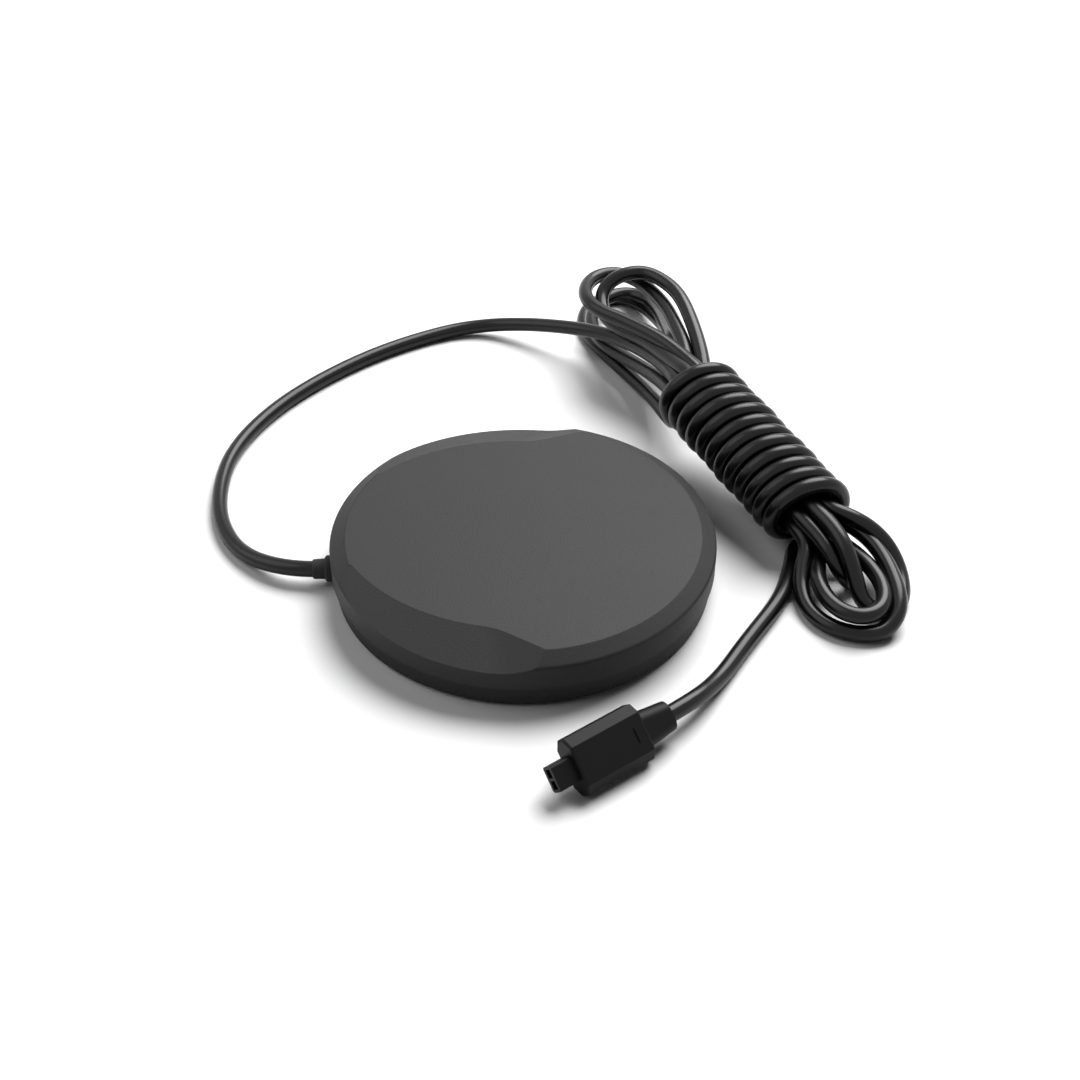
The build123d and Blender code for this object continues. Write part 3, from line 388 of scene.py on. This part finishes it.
def node_object(node):
    """The carried-over object of one CAD node."""
    for piece in bpy.data.objects:
        if piece.get("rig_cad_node") == node:
            return piece
    raise ValueError("no object stands for node " + node)


def dress(nodes, material):
    """Gives CAD nodes one material in place of the plain one that they came with."""
    for node in nodes:
        piece = node_object(node)
        piece.data.materials.clear()
        piece.data.materials.append(material)


def wind_spring(shape, low, high):
    """Adds a coil spring between two corners, with a closed turn at each end."""
    thick = SPRING_WIRE * MM
    rise = high.z - low.z - thick
    rings = []
    for step in range(SPRING_TURNS * STEPS_PER_TURN + 1):
        turn = step / STEPS_PER_TURN
        if turn < 1:
            height = thick * turn
        elif turn > SPRING_TURNS - 1:
            height = rise - thick * (SPRING_TURNS - turn)
        else:
            height = thick + (rise - 2 * thick) * (turn - 1) / (SPRING_TURNS - 2)
        out = Vector((cos(2 * pi * turn), sin(2 * pi * turn), 0))
        middle = Vector(((low.x + high.x) / 2, (low.y + high.y) / 2, low.z + thick / 2 + height))
        middle += out * SPRING_RADIUS * MM
        ring = []
        for side in range(WIRE_SIDES):
            angle = 2 * pi * side / WIRE_SIDES
            outward = out * cos(angle) + Vector((0, 0, sin(angle)))
            ring.append(shape.verts.new(middle + outward * thick / 2))
        rings.append(ring)
    for first, second in zip(rings, rings[1:]):
        for side in range(WIRE_SIDES):
            after = (side + 1) % WIRE_SIDES
            shape.faces.new((first[side], first[after], second[after], second[side]))
    shape.faces.new(rings[0])
    shape.faces.new(rings[-1])


def barrel_axes():
    """Unit vectors of the barrel: down its length, level towards the pedal, and up."""
    down = (BARREL_FOOT - BARREL_TOP).normalized()
    level = down.cross(Vector((0, 0, 1))).normalized()
    return down, level, level.cross(down)


def strand_spot(end, angle, out):
    """Point of a strand so far out past one end of the barrel, in the middle if it has no angle."""
    down, level, up = barrel_axes()
    spot = BARREL_TOP - down * out if end == "top" else BARREL_FOOT + down * out
    if angle is None:
        return spot
    return spot + (level * cos(radians(angle)) + up * sin(radians(angle))) * STRAND_RADIUS


def strand(angle, upwards):
    """Points of one strand through the barrel, at an angle in degrees round its axis."""
    spots = [
        strand_spot("top", angle, STRAND_OUT_AT_TOP), strand_spot("top", angle, -STRAND_IN),
        strand_spot("foot", angle, -STRAND_IN), strand_spot("foot", angle, STRAND_OUT_AT_FOOT),
    ]
    return spots[::-1] if upwards else spots


def barrel_winding():
    """Points of the turns round the strands, from the barrel's top to its foot."""
    down, level, up = barrel_axes()
    length = (BARREL_FOOT - BARREL_TOP).length
    sweep = 360.0 * (BARREL_TURNS - 1) + LAST_TURN_ANGLE - FIRST_TURN_ANGLE
    steps = int(sweep / 360.0 * POINTS_PER_TURN)
    stretch = 1.0 / cos(pi / POINTS_PER_TURN)
    points = []
    for step in range(steps + 1):
        share = step / steps
        angle = radians(FIRST_TURN_ANGLE + sweep * share)
        along = length * share - TURN_LEAN * cos(angle)
        radius = TURN_RADIUS * stretch + TURN_WANDER * sin(WANDER_RATE * angle)
        points.append(BARREL_TOP + down * along + (level * cos(angle) + up * sin(angle)) * radius)
    return points


def cord_route():
    """Every control point of the lead, in order, in metres."""
    route = [Vector(p) for p in PEDAL_RUN]
    parts = (
        strand(26, False), FOOT_LOOP_INNER, strand(None, True), TOP_LOOP_SECOND,
        strand(129, False), FOOT_LOOP_MIDDLE, strand(77, True), TOP_LOOP_FIRST,
        strand(180, False), FOOT_LOOP_OUTER, strand(334, True), TOP_LOOP_THIRD,
        strand(283, False), FOOT_LOOP_END, strand(231, True), TOP_LOOP_FLOOR,
        barrel_winding(), PLUG_RUN,
    )
    for part in parts:
        route += [Vector(p) for p in part]
    return [p * MM for p in route]


def route_length(piece):
    """Length of a curve's own line, in metres."""
    bevel = piece.data.bevel_depth
    piece.data.bevel_depth = 0.0
    line = bpy.data.meshes.new_from_object(piece)
    piece.data.bevel_depth = bevel
    total = 0.0
    for first, second in zip(line.vertices, list(line.vertices)[1:]):
        total += (second.co - first.co).length
    bpy.data.meshes.remove(line)
    return total


class PedalSettings(bpy.types.PropertyGroup):
    """What a user would change on the pedal's plastic."""

    cover_grey: FloatProperty(name="Cover grey", description="Linear lightness of the cover's plastic",
                              default=0.035, min=0.0, max=1.0, subtype="FACTOR")
    base_grey: FloatProperty(name="Base grey", description="Linear lightness of the base's plastic",
                             default=0.031, min=0.0, max=1.0, subtype="FACTOR")
    grain_depth: FloatProperty(name="Grain depth", description="Depth of the moulded grain",
                               default=0.00012, min=0.0, max=0.001, unit="LENGTH", precision=6)


class CordSettings(bpy.types.PropertyGroup):
    """What a user would change on the lead and its plug."""

    radius: FloatProperty(name="Radius", description="Radius of the lead", default=CORD_RADIUS * MM,
                          min=0.0005, unit="LENGTH", precision=5)
    jacket_grey: FloatProperty(name="Jacket grey", description="Linear lightness of the lead's jacket",
                               default=0.0035, min=0.0, max=1.0, subtype="FACTOR")
    plug_grey: FloatProperty(name="Plug grey", description="Linear lightness of the plug's plastic",
                             default=0.006, min=0.0, max=1.0, subtype="FACTOR")
    bevel_steps: IntProperty(name="Round steps", description="Smoothness of the lead's section",
                             default=10, min=3, max=24)


class StageSettings(bpy.types.PropertyGroup):
    """Light and floor round the object."""

    key_power: FloatProperty(name="Key power", description="Power of the main lamp",
                             default=30.0, min=0.0, unit="POWER")
    fill_power: FloatProperty(name="Fill power", description="Power of the fill lamp",
                              default=5.0, min=0.0, unit="POWER")
    world_strength: FloatProperty(name="World strength", description="Strength of the sky's light",
                                  default=0.8, min=0.0, max=2.0)
    backdrop: FloatVectorProperty(name="Backdrop", description="Colour that the eye sees behind",
                                  size=3, default=(1.0, 1.0, 1.0), min=0.0, max=1.0,
                                  subtype="COLOR")


class MakeStage(bpy.types.Operator):
    """Makes the floor, the lamps, the sky and the photograph's camera."""

    bl_idname = "foot_pedal.make_stage"
    bl_label = "Make Stage"

    def execute(self, context):
        settings = context.scene.foot_pedal_stage
        self.make_floor()
        self.make_sky(context, settings)
        self.make_lamps(context, settings)
        self.make_camera(context)
        context.scene.view_settings.view_transform = "Standard"
        return {"FINISHED"}

    def make_floor(self):
        mesh = bpy.data.meshes.new("floor")
        far = FLOOR_REACH
        corners = [(-far, -far, 0), (far, -far, 0), (far, far, 0), (-far, far, 0)]
        mesh.from_pydata(corners, [], [(0, 1, 2, 3)])
        mesh.materials.append(plain_stage("pale_floor"))
        floor = bpy.data.objects.new("floor", mesh)
        bpy.context.scene.collection.objects.link(floor)

    def make_sky(self, context, settings):
        world = bpy.data.worlds.new("studio")
        context.scene.world = world
        world.use_nodes = True
        nodes, links = world.node_tree.nodes, world.node_tree.links
        lit = nodes["Background"]
        lit.inputs["Strength"].default_value = settings.world_strength
        seen = nodes.new("ShaderNodeBackground")
        seen.inputs["Color"].default_value = (*settings.backdrop, 1.0)
        path = nodes.new("ShaderNodeLightPath")
        shows = path.outputs["Is Camera Ray"]
        for kind in ("Is Glossy Ray", "Is Transmission Ray"):
            either = nodes.new("ShaderNodeMath")
            either.operation = "MAXIMUM"
            links.new(shows, either.inputs[0])
            links.new(path.outputs[kind], either.inputs[1])
            shows = either.outputs[0]
        mix = nodes.new("ShaderNodeMixShader")
        links.new(shows, mix.inputs["Fac"])
        links.new(lit.outputs[0], mix.inputs[1])
        links.new(seen.outputs[0], mix.inputs[2])
        links.new(mix.outputs[0], nodes["World Output"].inputs["Surface"])

    def make_lamps(self, context, settings):
        for name, (spot, size), power in (
            ("key_lamp", KEY_LAMP, settings.key_power),
            ("fill_lamp", FILL_LAMP, settings.fill_power),
        ):
            lamp = bpy.data.lights.new(name, "AREA")
            lamp.shape = "DISK"
            lamp.size = size
            lamp.energy = power
            holder = bpy.data.objects.new(name, lamp)
            holder.location = spot
            holder.rotation_euler = (LIT_SPOT - Vector(spot)).to_track_quat("-Z", "Y").to_euler()
            context.scene.collection.objects.link(holder)

    def make_camera(self, context):
        lens = bpy.data.cameras.new("camera")
        lens.lens = CAMERA_LENS
        lens.sensor_width = CAMERA_SENSOR
        lens.clip_start = 0.01
        camera = bpy.data.objects.new("camera", lens)
        camera.location = CAMERA_SPOT * MM
        camera.rotation_euler = CAMERA_LOOK.to_track_quat("-Z", "Y").to_euler()
        context.scene.collection.objects.link(camera)
        context.scene.camera = camera


class MakeCord(bpy.types.Operator):
    """Makes the lead, from the pedal through its tied-up bundle to the plug."""

    bl_idname = "foot_pedal.make_cord"
    bl_label = "Make Lead"

    def execute(self, context):
        settings = context.scene.foot_pedal_cord
        curve = bpy.data.curves.new("cord", "CURVE")
        curve.dimensions = "3D"
        curve.bevel_depth = 1.0
        curve.bevel_resolution = settings.bevel_steps
        curve.use_fill_caps = True
        spline = curve.splines.new("NURBS")
        route = cord_route()
        spline.points.add(len(route) - 1)
        for point, spot in zip(spline.points, route):
            point.co = (*spot, 1.0)
            point.radius = settings.radius
        spline.order_u = 3
        spline.use_endpoint_u = True
        spline.resolution_u = SAMPLES_PER_POINT
        curve.materials.append(cord_jacket("cord_jacket", settings.jacket_grey))
        cord = bpy.data.objects.new("cord", curve)
        context.scene.collection.objects.link(cord)
        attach(cord, "base")
        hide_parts("cord_pedal_run", "cord_hank", "cord_plug_run")
        length = round(route_length(cord), 2)
        2 * settings.radius
        return {"FINISHED"}


class MakeSprings(bpy.types.Operator):
    """Winds the two return springs, which ride on the base at their full length."""

    bl_idname = "foot_pedal.make_springs"
    bl_label = "Make Springs"

    def execute(self, context):
        steel = metal("spring_steel", (0.58, 0.58, 0.58), 0.24)
        hinge = next(j for j in frame["record"]["behaviour"]["joints"] if j["name"] == "cover_hinge")
        for side in ("left", "right"):
            node = "return_spring_" + side
            low, high = (Vector(corner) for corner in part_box(node))
            dress((node,), steel)
            spring = mesh_piece("coil_spring_" + side, "base", steel,
                                lambda shape: wind_spring(shape, low, high))
            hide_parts(node)
            drop = (hinge["pos_m"][1] - low.y) * sin(radians(hinge["range_deg"][1]))
            1 - drop / (high.z - low.z)
            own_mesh(spring)
        return {"FINISHED"}


class FinishPedal(bpy.types.Operator):
    """Gives the cover, the base and the gland their moulded finishes."""

    bl_idname = "foot_pedal.finish_pedal"
    bl_label = "Finish Pedal"

    def execute(self, context):
        settings = context.scene.foot_pedal
        dress(("top_cover",),
              moulded_plastic("cover_plastic", settings.cover_grey, GRAIN_PER_METRE,
                              settings.grain_depth))
        dress(("base_shell", "cord_clamp"),
              moulded_plastic("base_plastic", settings.base_grey, GRAIN_PER_METRE,
                              settings.grain_depth, roughness=0.55))
        dress(("foot_pad_1", "foot_pad_2", "foot_pad_3", "foot_pad_4"), soft_rubber("foot_rubber", 0.012))
        dress(("stop_bumper_left", "stop_bumper_right"), soft_rubber("bumper_rubber", 0.02))
        dress(("cord_gland",), soft_rubber("gland_rubber", 0.014))
        return {"FINISHED"}


class FinishWorks(bpy.types.Operator):
    """Gives the pieces inside the pedal their finishes."""

    bl_idname = "foot_pedal.finish_works"
    bl_label = "Finish Works"

    def execute(self, context):
        dress(("ballast_plate", "pot_bracket"), metal("plate_steel", (0.5, 0.5, 0.49), 0.36))
        dress(("ballast_screws", "bracket_screws", "board_screws", "clamp_screws", "rack_screws"),
              metal("screw_steel", (0.6, 0.6, 0.58), 0.26))
        dress(("hinge_pin_left", "hinge_pin_right", "pot_shaft"),
              metal("pin_steel", (0.66, 0.66, 0.66), 0.2, along=(0.1, 1.0, 1.0)))
        dress(("drive_rack", "drive_pinion"), glossy_plastic("gear_plastic", (0.72, 0.68, 0.56), 0.34))
        dress(("pot_body",), glossy_plastic("pot_case", (0.015, 0.06, 0.28)))
        dress(("circuit_board",), board_laminate("board_laminate"))
        dress(("board_parts",), glossy_plastic("chip_plastic", (0.02, 0.02, 0.022), 0.4))
        dress(("board_header",), glossy_plastic("header_plastic", (0.62, 0.58, 0.45), 0.35))
        dress(("core_red",), glossy_plastic("core_red", (0.4, 0.02, 0.015)))
        dress(("core_black",), glossy_plastic("core_black", (0.012, 0.012, 0.013)))
        dress(("core_white",), glossy_plastic("core_white", (0.72, 0.7, 0.64)))
        dress(("sensor_wires",), glossy_plastic("sensor_wire", (0.5, 0.2, 0.03)))
        return {"FINISHED"}


class FinishPlug(bpy.types.Operator):
    """Gives the plug and its contacts their finishes."""

    bl_idname = "foot_pedal.finish_plug"
    bl_label = "Finish Plug"

    def execute(self, context):
        settings = context.scene.foot_pedal_cord
        dress(("plug_sleeve", "plug_body", "plug_nose"),
              moulded_plastic("plug_plastic", settings.plug_grey, PLUG_GRAIN_PER_METRE, roughness=0.45))
        dress(("plug_contacts",), metal("contact_metal", (0.62, 0.56, 0.42), 0.28))
        return {"FINISHED"}


class PedalPanel(bpy.types.Panel):
    """Lists the pedal's settings and the operators that make it."""

    bl_idname = "VIEW3D_PT_foot_pedal"
    bl_label = "Foot Pedal"
    bl_space_type = "VIEW_3D"
    bl_region_type = "UI"
    bl_category = "Foot Pedal"

    def draw(self, context):
        layout = self.layout
        scene = context.scene
        for settings in (scene.foot_pedal, scene.foot_pedal_cord, scene.foot_pedal_stage):
            for name in settings.__annotations__:
                layout.prop(settings, name)
        for operator in OPERATORS:
            layout.operator(operator.bl_idname)


SETTINGS = (PedalSettings, CordSettings, StageSettings)
OPERATORS = (MakeStage, MakeCord, MakeSprings, FinishPedal, FinishWorks, FinishPlug)


def register():
    for cls in (*SETTINGS, *OPERATORS, PedalPanel):
        bpy.utils.register_class(cls)
    bpy.types.Scene.foot_pedal = PointerProperty(type=PedalSettings)
    bpy.types.Scene.foot_pedal_cord = PointerProperty(type=CordSettings)
    bpy.types.Scene.foot_pedal_stage = PointerProperty(type=StageSettings)


def unregister():
    for name in ("foot_pedal_stage", "foot_pedal_cord", "foot_pedal"):
        delattr(bpy.types.Scene, name)
    for cls in (PedalPanel, *reversed(OPERATORS), *reversed(SETTINGS)):
        bpy.utils.unregister_class(cls)


def main():
    register()
    bpy.ops.foot_pedal.make_stage()
    bpy.ops.foot_pedal.make_cord()
    bpy.ops.foot_pedal.make_springs()
    bpy.ops.foot_pedal.finish_pedal()
    bpy.ops.foot_pedal.finish_works()
    bpy.ops.foot_pedal.finish_plug()


if __name__ == "__main__":
    main()
